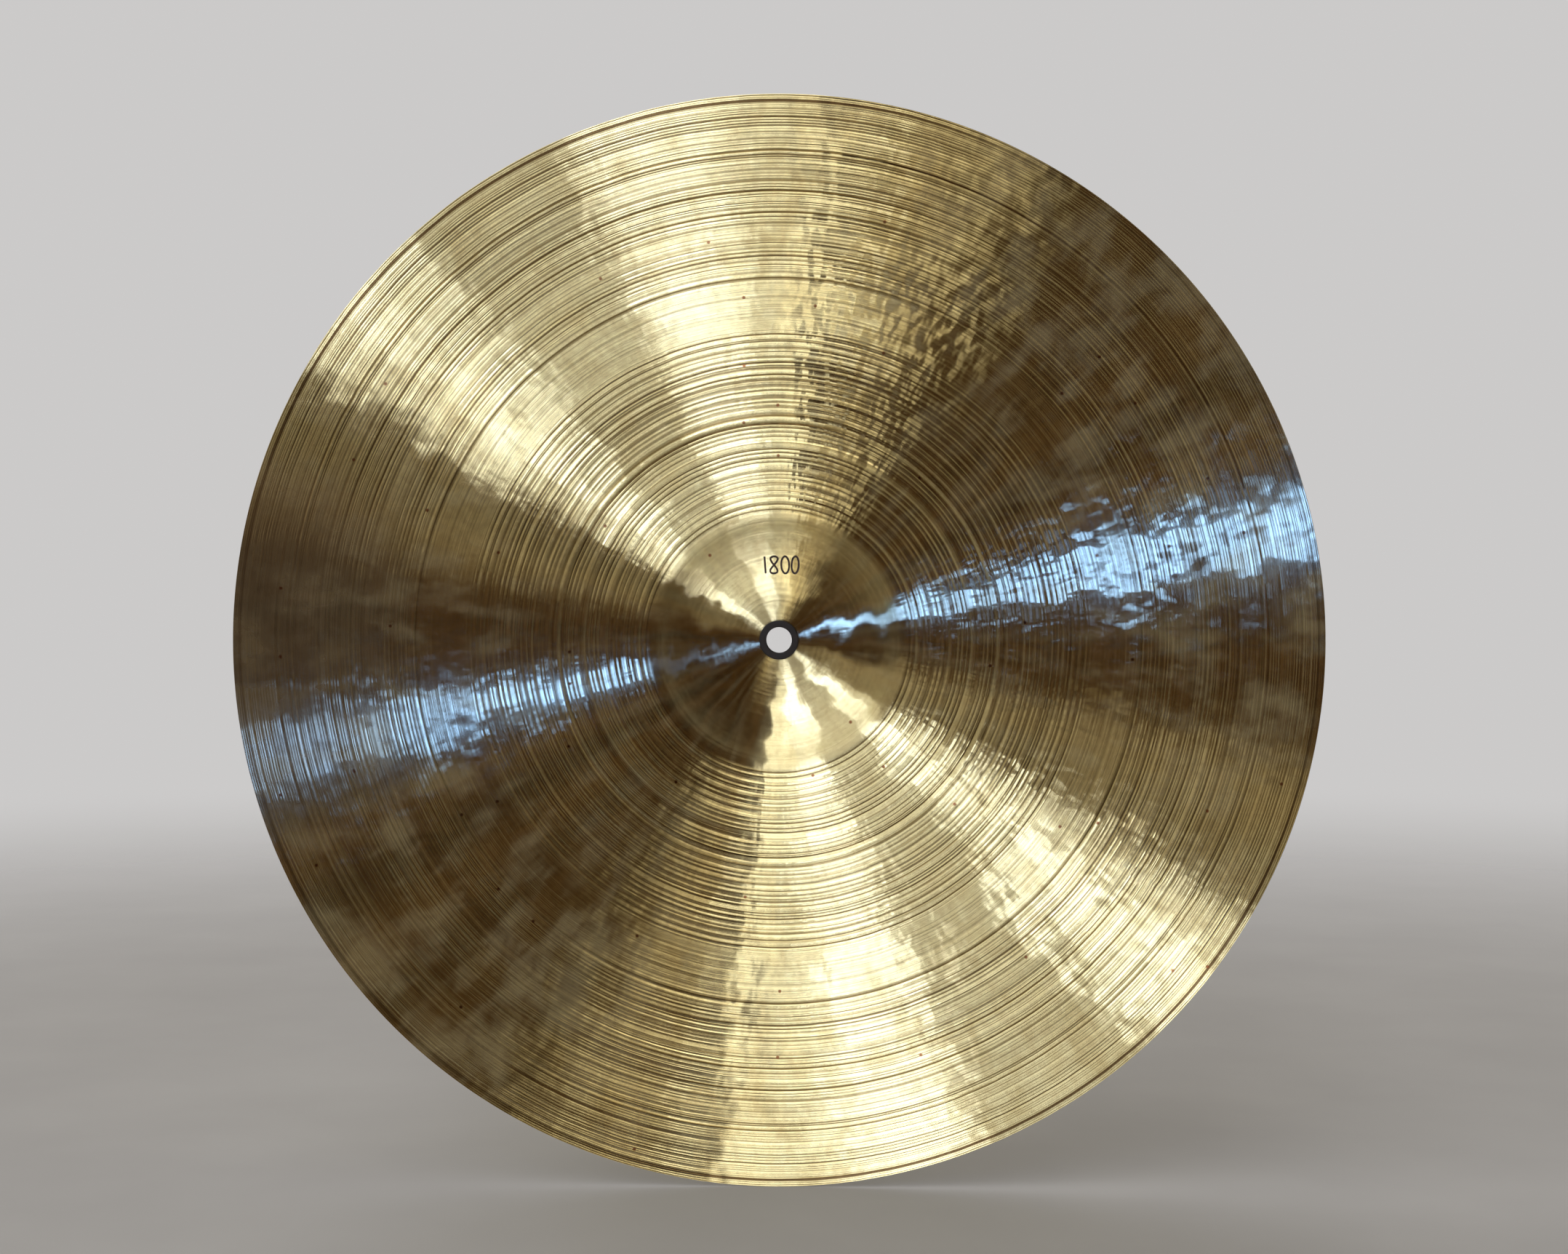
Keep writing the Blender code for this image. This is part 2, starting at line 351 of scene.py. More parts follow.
def sunk(radius, depth):
    """The section point that lies depth below the upper face, square to it, as (radius, height)."""
    height, slope = upper_face(radius)
    return radius - depth * math.sin(slope), height - depth * math.cos(slope)


print("bell dome radius", round(DOME / MM, 1), "mm, bow radius", round(BOW / MM), "mm")

# %% [markdown]
# ## Turned lines
# The lathe tool leaves fine lines everywhere, which the finish draws. It also digs in now and then, and these
# deeper rings are real cuts in the section: three points make a shallow V. On the underside their radii are read
# off the picture, from the rim inwards. The upper face isn't in the picture, so its lines are typical ones.

# %% Draw both faces with their deeper lines
UNDER_LINES = (
    250.9, 229.0, 226.3, 215.5, 210.8, 201.3, 196.4, 188.6, 183.1, 179.5, 171.5,
    142.9, 138.5, 134.8, 130.7, 126.7, 122.9, 119.1, 113.7, 107.2, 102.3, 94.4, 79.5, 74.5, 63.0,
)
UPPER_LINES = (240.0, 221.0, 203.0, 186.0, 168.0, 149.0, 127.0, 104.0, 82.0)
DARK_LINES = (250.9, 226.3, 196.4, 171.5, 130.7, 63.0)
FAINT_LINE = 0.68
UPPER_STEPS = (2.6 * MM, 4.0 * MM)
UNDER_STEPS = (2.2 * MM, 3.2 * MM)
RIM_TURNS = (0.2, 0.4, 0.6, 0.8)
LINE_WIDTH = 1.1 * MM
LINE_DEPTH = 0.08 * MM
RIM_START = RIM_RADIUS - EDGE_THICKNESS / 2 * (1 - math.sin(RIM_SLOPE))


def face_points(lines, steps, face_depth, line_depth):
    """Section points of one face from the hole outwards, at its steps on bell and bow, with a V at each line."""
    bell_step, bow_step = steps
    bell_count = round((FOOT_RADIUS - CROWN_FLAT_RADIUS) / bell_step)
    bow_count = round((RIM_START - FOOT_RADIUS) / bow_step)
    radii = [HOLE_RADIUS]
    radii += list(np.linspace(CROWN_FLAT_RADIUS, FOOT_RADIUS, bell_count, endpoint=False))
    radii += list(np.linspace(FOOT_RADIUS, RIM_START, bow_count + 1))
    centres = [line * MM for line in lines]
    clear = [r for r in radii if r == radii[-1] or all(abs(r - c) > LINE_WIDTH for c in centres)]
    marks = [(r, face_depth(r)) for r in clear]
    for centre in centres:
        marks.append((centre, line_depth(centre)))
        for side in (centre - LINE_WIDTH / 2, centre + LINE_WIDTH / 2):
            marks.append((side, face_depth(side)))
    return [sunk(radius, depth) for radius, depth in sorted(marks)]


line_bottoms = [(sunk(line * MM, LINE_DEPTH), FAINT_LINE) for line in UPPER_LINES]
for line in UNDER_LINES:
    tarnish = 1.0 if line in DARK_LINES else FAINT_LINE
    line_bottoms.append((sunk(line * MM, thickness(line * MM) - LINE_DEPTH), tarnish))
upper = face_points(UPPER_LINES, UPPER_STEPS, lambda r: 0.0, lambda r: LINE_DEPTH)
under = face_points(UNDER_LINES, UNDER_STEPS, thickness, lambda r: thickness(r) - LINE_DEPTH)
rim_middle = sunk(RIM_START, EDGE_THICKNESS / 2)
rim = []
for turn_share in RIM_TURNS:
    bend = RIM_SLOPE + math.pi * turn_share
    across, along = EDGE_THICKNESS / 2 * math.sin(bend), EDGE_THICKNESS / 2 * math.cos(bend)
    rim.append((rim_middle[0] + across, rim_middle[1] + along))
sheet_section = upper + rim + under[::-1]
print("section of", len(sheet_section), "points")

# %% [markdown]
# ## Sweeping a section
# By hand one would put down a single vertex, walk it round the outline with Extrude, and Spin the outline about
# the axis. The code does just that. The seam is merged afterwards and the normals are made to point outwards.

# %% Turn a section
SHEET_SEGMENTS = 360
SAME_POINT = 0.001 * MM
CREASE_ANGLE = math.radians(35)


def turned(name, section, segments):
    """A piece made by extruding a vertex round a section of (radius, height) and spinning it about Y."""
    bpy.ops.object.select_all(action="DESELECT")
    bpy.ops.mesh.primitive_plane_add(size=MM)
    piece = bpy.context.active_object
    piece.name = name
    piece.data.name = name
    bpy.ops.object.mode_set(mode="EDIT")
    bpy.ops.mesh.select_all(action="SELECT")
    bpy.ops.mesh.merge(type="CENTER")
    here = Vector((0.0, 0.0, 0.0))
    for step, (radius, height) in enumerate(section + section[:1]):
        there = Vector((radius, height, 0.0))
        if step == 0:
            bpy.ops.transform.translate(value=there - here)
        else:
            bpy.ops.mesh.extrude_region_move(TRANSFORM_OT_translate={"value": there - here})
        here = there
    bpy.ops.mesh.select_all(action="SELECT")
    bpy.ops.mesh.remove_doubles(threshold=SAME_POINT)
    bpy.ops.mesh.select_all(action="SELECT")
    bpy.ops.mesh.spin(steps=segments, angle=2 * math.pi, center=(0, 0, 0), axis=(0, 1, 0))
    bpy.ops.mesh.select_all(action="SELECT")
    bpy.ops.mesh.remove_doubles(threshold=SAME_POINT)
    bpy.ops.mesh.normals_make_consistent(inside=False)
    bpy.ops.object.mode_set(mode="OBJECT")
    bpy.ops.object.shade_smooth_by_angle(angle=CREASE_ANGLE)
    return piece


sheet = turned("bronze_sheet", sheet_section, SHEET_SEGMENTS)
print("sheet:", len(sheet.data.vertices), "vertices,", len(sheet.data.polygons), "faces")

# %% [markdown]
# ## Hammering
# The smith hammers in rings, blow beside blow, and each blow leaves a shallow dent a finger's width across.
# Here each ring of blows gets a seeded scatter in place and depth, and the sheet's points move along the axis by
# the sum of the dents near them. Both faces move together, as they do in a real sheet.

# %% Hammer the sheet
HAMMER_RINGS = [24 * MM, 37 * MM, 50 * MM] + [(72 + 11.5 * ring) * MM for ring in range(16)]
BLOW_SPACING = 15 * MM
BLOW_RADIUS = 9.0 * MM
BLOW_DEPTH = 0.045 * MM
RADIUS_SCATTER = 2.0 * MM
STEP_SCATTER = 0.22
DEPTH_RANGE = (-0.35, 1.0)
SIZE_RANGE = (0.75, 1.25)
RELIEF_FADE = (249 * MM, 253 * MM)
CROWN_FADE = 4 * MM
BLOW_REACH = 4 * BLOW_RADIUS
blows = np.random.default_rng(20)
rings = []
for ring_radius in HAMMER_RINGS:
    count = round(2 * math.pi * ring_radius / BLOW_SPACING)
    rings.append(
        {
            "radius": ring_radius + blows.normal(0, RADIUS_SCATTER, count),
            "angle": (np.arange(count) + blows.normal(0, STEP_SCATTER, count)) * 2 * math.pi / count,
            "depth": BLOW_DEPTH * blows.uniform(*DEPTH_RANGE, count),
            "size": BLOW_RADIUS * blows.uniform(*SIZE_RANGE, count),
        }
    )


def hammered(x, z):
    """How far the blows push the sheet along +Y at each point."""
    relief = np.zeros_like(x)
    radius = np.hypot(x, z)
    angle = np.arctan2(z, x)
    for ring, ring_radius in zip(rings, HAMMER_RINGS):
        count = len(ring["depth"])
        near = np.abs(radius - ring_radius) < BLOW_REACH
        first = np.floor(angle[near] / (2 * math.pi) * count).astype(int)
        for neighbour in (-2, -1, 0, 1, 2):
            which = (first + neighbour) % count
            dx = x[near] - ring["radius"][which] * np.cos(ring["angle"][which])
            dz = z[near] - ring["radius"][which] * np.sin(ring["angle"][which])
            spread = ring["size"][which] / 2
            relief[near] += ring["depth"][which] * np.exp(-(dx**2 + dz**2) / (2 * spread**2))
    fade = np.clip((RELIEF_FADE[1] - radius) / (RELIEF_FADE[1] - RELIEF_FADE[0]), 0, 1)
    crown = np.clip((radius - CROWN_FLAT_RADIUS) / CROWN_FADE, 0, 1)
    return relief * fade * crown


places = np.empty(3 * len(sheet.data.vertices))
sheet.data.vertices.foreach_get("co", places)
places = places.reshape(-1, 3)
relief = hammered(places[:, 0], places[:, 2])
print("blows:", sum(len(ring["depth"]) for ring in rings), "relief up to", round(relief.max() / MM, 3), "mm")

# %% [markdown]
# ## Marking the deep lines
# The finish has to know where the deep lines are, because tarnish collects at their bottoms. Each point there gets
# a mark on the mesh, stronger on the darkest lines. This is done just before the hammering moves the points.

# %% Mark the lines and move the sheet
SAME_PLACE = 0.005 * MM
cut = np.zeros(len(places))
for (line_radius, height), tarnish in line_bottoms:
    off_line = np.hypot(np.hypot(places[:, 0], places[:, 2]) - line_radius, places[:, 1] - height)
    cut[off_line < SAME_PLACE] = tarnish
sheet.data.attributes.new("cut", "FLOAT", "POINT").data.foreach_set("value", cut)
places[:, 1] += relief
sheet.data.vertices.foreach_set("co", places.ravel())
sheet.data.update()
print("points on deep lines:", int((cut > 0).sum()))

# %% [markdown]
# ## The bronze's lines
# The finish works from the distance to the axis. Lines along that distance tilt the surface in and out, so they run
# round the sheet as rings. First each point's distance and its angle round the axis are found. A little noise in
# the distance keeps the rings from being perfect circles.

# %% Find each point's place
LINE_WANDER = 0.7 * MM
bronze = bpy.data.materials.new("lathed_bronze")
bronze.use_nodes = True
metal = Graph(bronze.node_tree)
spot = metal.node("TexCoord").outputs["Object"]
place = metal.node("SeparateXYZ", {0: spot})
outward = metal.vector("MULTIPLY", spot, (1.0, 0.0, 1.0))
radius = metal.node("VectorMath", {0: outward}, operation="LENGTH").outputs["Value"]
radial = metal.vector("NORMALIZE", outward)
around = metal.vector("CROSS_PRODUCT", radial, (0.0, 1.0, 0.0))
round_axis = metal.math("ARCTAN2", place.outputs["Z"], place.outputs["X"])
wander = metal.product(metal.math("SUBTRACT", metal.noise(spot, 45.0, 2.0), 0.5), LINE_WANDER)
ring_mm = metal.product(metal.math("ADD", radius, wander), 1 / MM)
print("lines wander by up to", LINE_WANDER / 2 / MM, "mm")

# %% [markdown]
# ## Ruling the lines
# The lines are counted outwards, and the count grows faster towards the rim, so they crowd together there. They come
# in bands of different strength, and nearly stop in one smooth band halfway out and on the bell.

# %% Rule the lines
LINES_PER_MM = 0.33
LINES_GROWTH = 5.0e-6
CROWDED_FROM = 70.0
BELL_FOOT = (61.0, 66.0)
BAND_START, BAND_END = (149.0, 146.0), (167.0, 170.0)
LEFT_IN_BAND = 0.25
past_bell = metal.math("SUBTRACT", ring_mm, CROWDED_FROM)
crowding = metal.product(metal.math("POWER", past_bell, 3.0), LINES_GROWTH)
line_count = metal.math("ADD", metal.product(ring_mm, LINES_PER_MM), crowding)
uneven = metal.product(metal.noise_along(line_count, 0.45, 1.0, 0.5), 1.6)
groove = metal.math("ADD", line_count, uneven)
wave = metal.math("SINE", metal.product(groove, 2 * math.pi))
aside = metal.math("ABSOLUTE", metal.math("SUBTRACT", metal.math("FRACT", groove), 0.5))
which_line = metal.math("FLOOR", groove)
each_line = metal.node("TexWhiteNoise", {"W": which_line}, noise_dimensions="1D").outputs["Value"]
bands = metal.remap(metal.noise_along(ring_mm, 0.075, 1.0, 0.6), 0.30, 0.60, 0.5, 1.0)
on_bow = metal.remap(ring_mm, *BELL_FOOT, 0.06, 1.0)
off_band = metal.math("ADD", metal.remap(ring_mm, *BAND_START), metal.remap(ring_mm, *BAND_END))
lined_share = metal.product(bands, on_bow, metal.math("MAXIMUM", off_band, LEFT_IN_BAND))
line_strength = metal.product(metal.remap(each_line, -0.25, 0.5), metal.math("MINIMUM", lined_share, on_bow))
print("about", LINES_PER_MM, "lines to the millimetre at the bell")

# %% [markdown]
# ## Leaning the surface
# Each line leans the surface inwards on one side and outwards on the other. Much finer hairlines between the lines
# spread each highlight along the rays from the axis. The inner bow leans a little as a whole.

# %% Lean the surface in and out
LINE_LEAN = (0.62, 0.46)
HAIRS_PER_MM = (60.0, 11.0)
HAIR_DEPTH = (1.1, 1.9)
INNER_BOW = (66.0, 150.0)
INNER_LEAN = 0.09
lean = metal.product(wave, lined_share, metal.remap(ring_mm, 110.0, 150.0, *LINE_LEAN))
hair_count = metal.product(ring_mm, metal.remap(ring_mm, *BELL_FOOT, *HAIRS_PER_MM))
hairlines = metal.noise_along(hair_count, 1.0, 0.0)
hair_depth = metal.remap(ring_mm, *BELL_FOOT, *HAIR_DEPTH)
hair_lean = metal.product(metal.math("SUBTRACT", hairlines, 0.5), hair_depth)
inner_lean = metal.remap(ring_mm, *INNER_BOW, INNER_LEAN, 0.0, smooth=False)
inner_lean = metal.product(inner_lean, metal.remap(ring_mm, *BELL_FOOT))
print("about", HAIRS_PER_MM[1], "hairlines to the millimetre on the bow")

# %% [markdown]
# ## The bronze's hammer facets
# Hammer blows of two sizes swing the surface a little to either side, which makes the wedges' edges ragged, most of
# all in one sector at the top. Noise that is stretched along the rays draws them. In the bell a rounder noise takes
# over.

# %% Swing the surface to either side
BLOW_SWING, FACET_SWING, BELL_SWING = 0.014, 0.009, 0.13
SECTOR_AT = math.radians(72)
SECTOR_FADE = (math.radians(9), math.radians(20))
SECTOR_GAIN = 2.2
DENT_DEPTH = 0.10 * MM


def along_rays(per_turn, per_metre, detail, rough):
    """Noise stretched along the rays from the axis, without a seam."""
    inward = metal.node("CombineXYZ", {1: metal.product(radius, per_metre)}).outputs[0]
    return metal.noise(metal.vector("ADD", metal.scaled(radial, per_turn), inward), 1.0, detail, rough)


blow_swing = metal.remap(along_rays(13.0, 32.0, 2.0, 0.5), 0.30, 0.70, -BLOW_SWING, BLOW_SWING)
facet_swing = metal.remap(along_rays(47.0, 125.0, 1.0, 0.5), 0.36, 0.64, -FACET_SWING, FACET_SWING)
off_sector = metal.math("ABSOLUTE", metal.math("SUBTRACT", round_axis, SECTOR_AT))
sector_gain = metal.remap(off_sector, *SECTOR_FADE, SECTOR_GAIN, 0.0)
sector_gain = metal.product(sector_gain, metal.remap(ring_mm, 160.0, 215.0, 1.0, 0.3))
facet_swing = metal.product(facet_swing, metal.math("ADD", sector_gain, 1.0))
past_foot = metal.remap(ring_mm, 54.0, 72.0, 0.25, 1.0)
near_rim = metal.remap(ring_mm, 170.0, 245.0, 1.0, 0.65)
rougher_right = metal.remap(metal.math("COSINE", round_axis), -0.9, 0.6, 0.55, 1.1)
swing = metal.product(metal.math("ADD", blow_swing, facet_swing), past_foot, near_rim, rougher_right)
bell_dents = metal.math("SUBTRACT", metal.noise(spot, 75.0, 2.0), 0.5)
bell_swing = metal.product(bell_dents, metal.remap(ring_mm, 66.0, 58.0, 0.0, BELL_SWING))
swing = metal.math("ADD", swing, bell_swing)

dents = metal.noise(spot, 70.0, 1.0, 0.5)
dented = metal.node("Bump", {"Strength": 1.0, "Distance": DENT_DEPTH, "Height": dents}).outputs[0]
face = metal.math("SIGN", metal.node("SeparateXYZ", {0: dented}).outputs["Y"])
tilt = metal.math("ADD", metal.math("ADD", lean, hair_lean), metal.product(inner_lean, face))
leaning = metal.vector("ADD", metal.scaled(radial, tilt), metal.scaled(around, swing))
lined = metal.vector("NORMALIZE", metal.vector("ADD", dented, leaning))
print("swing of blows and facets:", BLOW_SWING, "and", FACET_SWING)

# %% [markdown]
# ## The bronze's tarnish, with painted light on the lines
# Clouds of haze lie over the bow. Tarnish settles in the lines, brown at their edges and nearly black at their
# bottoms. How strongly the lines are drawn is painted light: boldest high on the sheet, where the lit wedges fall,
# and faint at the left and right, in the dark sectors.

# %% Tarnish the lines and paint their light
BRIGHT_BRONZE, HAZY_BRONZE = (0.80, 0.755, 0.47, 1.0), (0.70, 0.625, 0.35, 1.0)
LINE_BROWN, LINE_DARK = (0.40, 0.29, 0.07, 1.0), (0.060, 0.030, 0.004, 1.0)
UNLIT_SECTOR_AT = math.radians(27)
UNLIT_TO_LIT = (0.54, 0.84)
patches = metal.noise(spot, 30.0, 4.0, 0.6)
clouds = metal.remap(along_rays(12.0, 34.0, 3.0, 0.55), 0.42, 0.74)
clouds = metal.product(clouds, metal.remap(ring_mm, 110.0, 185.0, 0.45, 1.2))
haze = metal.math("MAXIMUM", metal.remap(patches, 0.34, 0.80), clouds)
colour = metal.mix(haze, BRIGHT_BRONZE, HAZY_BRONZE)
from_unlit_sector = metal.math("ABSOLUTE", metal.math("SINE", metal.math("SUBTRACT", round_axis, UNLIT_SECTOR_AT)))


def painted_light_by_angle(least, most):
    """Painted light on the tarnish: least at the unlit angle and opposite it, most between them, in the lit wedges.
    """
    return metal.remap(from_unlit_sector, *UNLIT_TO_LIT, least, most)


# Painted light: lines are drawn bolder and wider high on the sheet, in the upper lit wedge.
outermost = metal.remap(ring_mm, 190.0, 220.0)
midway = metal.product(metal.remap(ring_mm, 98.0, 106.0), metal.remap(ring_mm, 136.0, 126.0))
upper_lit_wedge = metal.remap(metal.math("SINE", round_axis), 0.3, 0.65)
painted_bold = metal.product(metal.math("ADD", outermost, midway), upper_lit_wedge)
dark_edge = metal.remap(painted_bold, 0.0, 1.0, 0.06, 0.13, smooth=False)
line_edge = metal.remap(painted_bold, 0.0, 1.0, 0.18, 0.30, smooth=False)
brown_edge = metal.math("ADD", line_edge, 0.07)
# Painted light: line tarnish is drawn faint in the dark sectors and full in the lit wedges.
line_tarnish_and_light = metal.product(line_strength, painted_light_by_angle(0.14, 1.0))
line_brown = metal.product(metal.remap(aside, dark_edge, brown_edge, 0.3, 0.0), line_tarnish_and_light)
line_dark = metal.product(metal.remap(aside, dark_edge, line_edge, 1.0, 0.0), line_tarnish_and_light, 0.95)
colour = metal.mix(line_brown, colour, LINE_BROWN)
colour = metal.mix(line_dark, colour, LINE_DARK)
print("tarnish faintest at", round(math.degrees(UNLIT_SECTOR_AT)), "degrees and opposite")

# %% [markdown]
# ## Deep cuts, painted shade and pits
# The deep lines were marked on the mesh, so their bottoms can be darkened in the same way, with the same painted
# light by angle. A dark line beside the rim is painted by its radius, also with that painted light. The bell is a
# little darker than the rest, more so towards its foot, and painted shade darkens the left end. Small reddish pits
# are
# scattered over the sheet: most cells of a cell pattern stay empty, and the others get one pit each.

# %% Darken the cuts and scatter the pits
MOTTLE_BROWN, PIT_RED = (0.36, 0.25, 0.11, 1.0), (0.20, 0.06, 0.02, 1.0)
CUT_BROWN, CUT_DARK = (0.36, 0.25, 0.06, 1.0), (0.050, 0.024, 0.004, 1.0)
RIM_BROWN = (0.10, 0.055, 0.02, 1.0)
SHADED_END_COLOUR, DULL_BELL = (0.20, 0.12, 0.06, 1.0), (0.22, 0.15, 0.06, 1.0)
RIM_LINE = 251.1
PIT_CELLS_PER_METRE = 60.0
PITTED_SHARE = 0.09
mottle = metal.noise(spot, 240.0, 3.0, 0.6)
colour = metal.mix(metal.remap(mottle, 0.35, 0.62, 0.2, 0.0), colour, MOTTLE_BROWN)
bottom_mark = metal.node("Attribute", attribute_name="cut").outputs["Fac"]
# The cut bottoms' tarnish also carries the painted light by angle.
cut_brown = metal.product(metal.remap(bottom_mark, 0.0, 0.4), painted_light_by_angle(0.08, 0.25))
cut_dark = metal.product(metal.math("POWER", bottom_mark, 1.5), painted_light_by_angle(0.25, 0.9))
colour = metal.mix(cut_brown, colour, CUT_BROWN)
colour = metal.mix(cut_dark, colour, CUT_DARK)
off_rim_line = metal.math("ABSOLUTE", metal.math("SUBTRACT", ring_mm, RIM_LINE))
# The dark rim line also carries the painted light by angle.
rim_dark = metal.product(metal.remap(off_rim_line, 0.35, 0.9, 0.85, 0.0), painted_light_by_angle(0.3, 1.0))
colour = metal.mix(rim_dark, colour, RIM_BROWN)
# Painted shade: the left end of the sheet, towards the rim, is darkened.
at_left = metal.remap(metal.math("COSINE", round_axis), -0.90, -0.97)
left_end_shade = metal.product(at_left, metal.remap(ring_mm, 150.0, 225.0))
colour = metal.mix(metal.product(left_end_shade, 0.62), colour, SHADED_END_COLOUR)
in_bell = metal.remap(ring_mm, 64.0, 60.0)
colour = metal.mix(metal.product(in_bell, metal.remap(ring_mm, 28.0, 44.0, 0.14, 0.30)), colour, DULL_BELL)

flat_spot = metal.node("CombineXYZ", {0: place.outputs["X"], 1: place.outputs["Z"]}).outputs[0]
cell_inputs = {"Vector": flat_spot, "Scale": PIT_CELLS_PER_METRE, "Randomness": 1.0}
pit_cells = metal.node("TexVoronoi", cell_inputs, voronoi_dimensions="2D")
draw = metal.node("SeparateColor", {0: pit_cells.outputs["Color"]}).outputs[0]
pits = metal.remap(pit_cells.outputs["Distance"], 0.03, 0.06, 0.85, 0.0)
pits = metal.product(pits, metal.math("LESS_THAN", draw, PITTED_SHARE))
colour = metal.mix(pits, colour, PIT_RED)
print("pits in about", round(100 * PITTED_SHARE), "of 100 cells")

# %% [markdown]
# ## The finished bronze
# The shader's own anisotropy stands for the lines that are too fine to see. Its tangent points away from the axis,
# so highlights stretch into wedges. Where haze lies, or at the painted-shade left end, it is a little less metallic.

# %% Mix the bronze
ROUGHNESS = (0.12, 0.16)
CLEAN_PURITY, HAZY_PURITY = 0.99, 0.80
SPECULAR_LEVEL = 0.2
roughness = metal.remap(patches, 0.35, 0.7, *ROUGHNESS, smooth=False)
purity = metal.remap(clouds, 0.0, 1.0, CLEAN_PURITY, HAZY_PURITY, smooth=False)
purity = metal.product(purity, metal.remap(left_end_shade, 0.0, 1.0, 1.0, 0.88))
shader = metal.node(
    "BsdfPrincipled",
    {
        "Base Color": colour,
        "Metallic": purity,
        "Roughness": roughness,
        "Specular IOR Level": SPECULAR_LEVEL,
        "Anisotropic": 1.0,
        "Normal": lined,
        "Tangent": radial,
    },
)
metal.node("OutputMaterial", {"Surface": shader.outputs[0]})
sheet.data.materials.append(bronze)
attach(sheet, "root")
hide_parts("cymbal")
print("bronze finish on", sheet.name)

# %% [markdown]
# ## The grommet
# The dark ring in the hole is read as a rubber grommet: a core in the bronze's hole and a lip over each face of the
# sheet. It is turned like the sheet, with soft rounded lips.

# %% Turn the grommet
BORE_RADIUS = 6.2 * MM
CORE_RADIUS = 7.4 * MM
LIP_RADIUS = grommet_high[0]
LIP_THICKNESS = 1.3 * MM
LIP_ROUND = 0.5 * MM
BORE_ROUND = 0.45 * MM
QUARTER_STEPS = 4
GROMMET_SEGMENTS = 96


def quarter(centre_radius, centre_height, size, start):
    """Points on a quarter turn of a rounded corner, from an angle measured from straight up, outwards."""
    turns = [start + math.pi / 2 * step / QUARTER_STEPS for step in range(QUARTER_STEPS + 1)]
    return [(centre_radius + size * math.sin(t), centre_height + size * math.cos(t)) for t in turns]


top = grommet_high[1]
bottom = grommet_low[1]
lip_in = LIP_RADIUS - LIP_ROUND
bore_in = BORE_RADIUS + BORE_ROUND
grommet_section = quarter(bore_in, top - BORE_ROUND, BORE_ROUND, -math.pi / 2)
grommet_section += quarter(lip_in, top - LIP_ROUND, LIP_ROUND, 0.0)
grommet_section += quarter(lip_in, top - LIP_THICKNESS + LIP_ROUND, LIP_ROUND, math.pi / 2)
grommet_section += [(CORE_RADIUS, top - LIP_THICKNESS), (CORE_RADIUS, bottom + LIP_THICKNESS)]
grommet_section += quarter(lip_in, bottom + LIP_THICKNESS - LIP_ROUND, LIP_ROUND, 0.0)
grommet_section += quarter(lip_in, bottom + LIP_ROUND, LIP_ROUND, math.pi / 2)
grommet_section += quarter(bore_in, bottom + BORE_ROUND, BORE_ROUND, math.pi)
grommet = turned("rubber_grommet", grommet_section, GROMMET_SEGMENTS)
print("grommet:", len(grommet.data.polygons), "faces")

# %% [markdown]
# ## The rubber's look
# Old rubber is nearly black, a little pebbled, and paler and rougher in patches.

# %% Mix the rubber
RUBBER_DARK, RUBBER_PALE = (0.008, 0.006, 0.005, 1.0), (0.026, 0.018, 0.014, 1.0)
rubber = bpy.data.materials.new("dark_rubber")
rubber.use_nodes = True
soft = Graph(rubber.node_tree)
spot = soft.node("TexCoord").outputs["Object"]
speckle = soft.noise(spot, 900.0, 3.0, 0.6)
bloom = soft.noise(spot, 160.0, 3.0, 0.6)
tone = soft.mix(soft.remap(bloom, 0.45, 0.75), RUBBER_DARK, RUBBER_PALE)
pebble = soft.node("Bump", {"Strength": 0.4, "Distance": 0.05 * MM, "Height": speckle}).outputs[0]
roughness = soft.remap(bloom, 0.3, 0.7, 0.5, 0.72, smooth=False)
skin = soft.node("BsdfPrincipled", {"Base Color": tone, "Roughness": roughness, "Normal": pebble})
soft.node("OutputMaterial", {"Surface": skin.outputs[0]})
grommet.data.materials.append(rubber)
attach(grommet, "root")
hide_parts("hole_grommet")
print("rubber finish on", grommet.name)

# %% [markdown]
# ## The inked weight
# Some makers weigh each cymbal and write the weight in grams inside the bell with a marker pen. A round number
# stands here. Lines, loops and figures of eight all come from one rule: a swing across while the pen goes down
# and up.

# %% Draw the strokes
MARK_CENTRE = Vector((1.0 * MM, -60.0 * MM, 36.3 * MM))
MARK_HALF_HEIGHT = 4.1
PEN_WIDTH = 0.95 * MM
INK_FILM = 0.04 * MM


def stroke(middle, half_width, across_turns, start, end, lean, steps):
    """Points of one pen stroke in mm: a line, a loop or a figure of eight, by how often it swings across."""
    turns = [start + (end - start) * step / steps for step in range(steps + 1)]
    points = []
    for t in turns:
        up = MARK_HALF_HEIGHT * math.cos(t)
        points.append((middle + half_width * math.sin(across_turns * t) - lean * up, up))
    return points


# Each stroke: middle, half width, swings across, first and last turn, lean, steps
strokes = [
    stroke(-7.6, 0.0, 1, 0.15, math.pi, 0.06, 10),
    stroke(-3.3, 1.75, 2, -0.1, 2 * math.pi + 0.05, -0.03, 44),
    stroke(2.1, 1.9, 1, -0.2, 2 * math.pi + 0.05, 0.02, 32),
    stroke(6.9, 1.75, 1, 0.1, 2 * math.pi + 0.25, -0.04, 32),
]
print(len(strokes), "pen strokes")

# %% [markdown]
# ## Laying the ink
# Each stroke is a ribbon: a short edge lies across the start of the stroke, is extruded from point to point, and
# turns with the stroke's heading. The flat ribbons are then projected onto the bell along the axis, and given a
# film's thickness.


